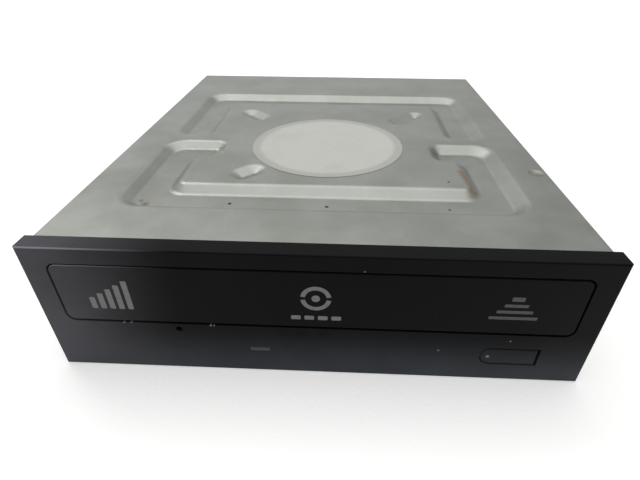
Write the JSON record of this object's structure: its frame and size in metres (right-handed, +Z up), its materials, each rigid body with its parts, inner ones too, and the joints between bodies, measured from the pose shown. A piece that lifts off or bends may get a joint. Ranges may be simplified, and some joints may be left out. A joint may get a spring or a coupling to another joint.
{
  "type": "internal dvd writer",
  "caption": "Half-height internal optical disc drive: pressed steel casing, black front with sliding tray, spindle, clamp, lifting traverse and pickup sled.",
  "frame": {"origin": "middle of the underside of the drive's bounding box", "axes": "+X to the drive's right seen from the front, +Y to the back, +Z up"},
  "size_m": [0.1482, 0.17, 0.042],
  "materials": {
    "galvanised_steel": "satin rolled sheet, zinc coated",
    "label_paper": "matt coated paper",
    "bezel_plastic": "fine moulded texture",
    "door_plastic": "fine moulded texture",
    "button_plastic": "satin",
    "window_resin": "milky light pipe",
    "frame_plastic": "moulded",
    "tray_plastic": "moulded, satin",
    "gear_plastic": "moulded acetal",
    "rubber": "matt",
    "motor_steel": "drawn can",
    "rod_steel": "ground",
    "screw_steel": "zinc plated",
    "pickup_metal": "die cast",
    "circuit_board": "solder resist",
    "chip_epoxy": "moulded epoxy",
    "connector_plastic": "moulded",
    "socket_plastic": "moulded",
    "contact_metal": "gold plated",
    "cable_film": "film over flat conductors",
    "lens_glass": "polished",
    "magnet_ferrite": "sintered",
    "copper_coils": "enamelled copper wire"
  },
  "bodies": {
    "casing": {"top_cover": "galvanised_steel", "bottom_cover": "galvanised_steel", "cover_screws": "screw_steel", "spindle_label": "label_paper", "bezel": "bezel_plastic", "indicator_window": "window_resin", "loader_frame": "frame_plastic", "pivot_bushes": "rubber", "clamp_bridge": "galvanised_steel", "front_board": "circuit_board", "eject_switch": "socket_plastic", "indicator_lamp": "window_resin", "loading_motor": "motor_steel", "drive_belt": "rubber", "main_board": "circuit_board", "board_screws": "screw_steel", "main_chip": "chip_epoxy", "driver_chip": "chip_epoxy", "memory_chip": "chip_epoxy", "capacitors": "motor_steel", "cable_sockets": "socket_plastic", "front_socket": "socket_plastic", "rear_connector": "connector_plastic", "connector_contacts": "contact_metal", "pickup_cable": "cable_film", "front_cable": "cable_film"},
    "tray": {"tray": "tray_plastic", "tray_panel": "door_plastic"},
    "clamp": {"clamp_disc": "gear_plastic", "clamp_plate": "motor_steel"},
    "motor_pulley": {"motor_pulley": "gear_plastic"},
    "pulley_gear": {"pulley_gear": "gear_plastic"},
    "drive_gear": {"drive_gear": "gear_plastic"},
    "cam_slider": {"cam_slider": "gear_plastic"},
    "eject_button": {"eject_button": "button_plastic"},
    "traverse": {"traverse_frame": "frame_plastic", "guide_rod_left": "rod_steel", "guide_rod_right": "rod_steel", "spindle_plate": "galvanised_steel", "spindle_stator": "copper_coils", "sled_motor": "motor_steel"},
    "spindle": {"spindle_rotor": "motor_steel", "turntable": "frame_plastic", "turntable_pad": "rubber", "centring_magnet": "magnet_ferrite"},
    "lead_screw": {"lead_screw": "rod_steel"},
    "sled": {"pickup_body": "pickup_metal", "pickup_cover": "galvanised_steel", "feed_nut": "gear_plastic"},
    "lens": {"lens_holder": "frame_plastic", "objective_lens": "lens_glass"}
  },
  "joints": [
    {"name": "tray_slide", "type": "slide", "parent": "casing", "child": "tray", "axis": [0, 1, 0], "range_m": [-0.134, 0]},
    {"name": "drive_gear_turn", "type": "hinge", "parent": "casing", "child": "drive_gear", "pos_m": [-0.044, -0.064, 0.018], "axis": [0, 0, 1], "continuous": true},
    {"name": "pulley_gear_turn", "type": "hinge", "parent": "casing", "child": "pulley_gear", "pos_m": [-0.02821, -0.05825, 0.015], "axis": [0, 0, 1], "continuous": true},
    {"name": "motor_pulley_turn", "type": "hinge", "parent": "casing", "child": "motor_pulley", "pos_m": [0.008, -0.062, 0.014], "axis": [0, 0, 1], "continuous": true},
    {"name": "traverse_lift", "type": "hinge", "parent": "casing", "child": "traverse", "pos_m": [0, 0.062, 0.016], "axis": [-1, 0, 0], "range_deg": [-5, 0]},
    {"name": "cam_slide", "type": "slide", "parent": "casing", "child": "cam_slider", "axis": [1, 0, 0], "range_m": [-0.0002, 0.0222]},
    {"name": "spindle_spin", "type": "hinge", "parent": "traverse", "child": "spindle", "pos_m": [0, -0.0145, 0.02], "axis": [0, 0, 1], "continuous": true},
    {"name": "clamp_spin", "type": "hinge", "parent": "casing", "child": "clamp", "pos_m": [0, -0.0145, 0.034], "axis": [0, 0, 1], "continuous": true},
    {"name": "sled_slide", "type": "slide", "parent": "traverse", "child": "sled", "axis": [0, 1, 0], "range_m": [0, 0.034], "deforming": ["pickup_cable"]},
    {"name": "lead_screw_turn", "type": "hinge", "parent": "traverse", "child": "lead_screw", "pos_m": [0.038, 0.02, 0.017], "axis": [0, 1, 0], "continuous": true},
    {"name": "lens_focus", "type": "slide", "parent": "sled", "child": "lens", "axis": [0, 0, 1], "range_m": [-0.0005, 0.0005], "stiffness_N_per_m": 60},
    {"name": "eject_press", "type": "slide", "parent": "casing", "child": "eject_button", "axis": [0, 1, 0], "range_m": [0, 0.0008], "stiffness_N_per_m": 400}
  ],
  "couplings": [
    {"joint": "drive_gear_turn", "follows": "tray_slide", "rad_per_m": -125},
    {"joint": "pulley_gear_turn", "follows": "tray_slide", "rad_per_m": 375},
    {"joint": "motor_pulley_turn", "follows": "tray_slide", "rad_per_m": 1041.5},
    {"joint": "cam_slide", "follows": "traverse_lift", "m_per_rad": -0.2521},
    {"joint": "lead_screw_turn", "follows": "sled_slide", "rad_per_m": 2094.4}
  ]
}
